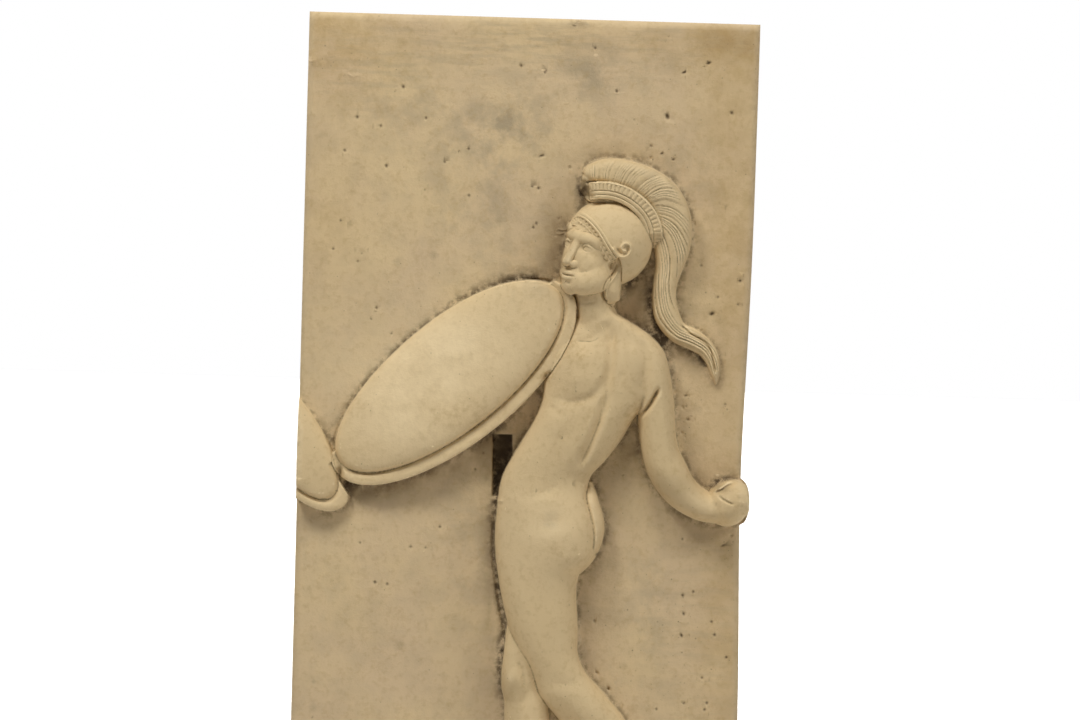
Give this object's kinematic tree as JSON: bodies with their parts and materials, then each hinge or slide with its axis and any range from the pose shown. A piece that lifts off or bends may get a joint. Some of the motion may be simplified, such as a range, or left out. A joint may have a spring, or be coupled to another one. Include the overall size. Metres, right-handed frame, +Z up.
{
  "type": "relief plaque",
  "caption": "Plaster wall plaque carved in high relief with a warrior seen from behind, in a crested helmet and with a round shield.",
  "frame": {"origin": "centre of the flat back face", "axes": "+Z up the plaque, +Y out of the back face towards the wall, +X to the right as the carving is seen"},
  "size_m": [0.2999, 0.0623, 0.5998],
  "materials": {
    "plaster": "matt patinated plaster"
  },
  "bodies": {
    "root": {"relief_plaque": "plaster"}
  },
  "joints": []
}
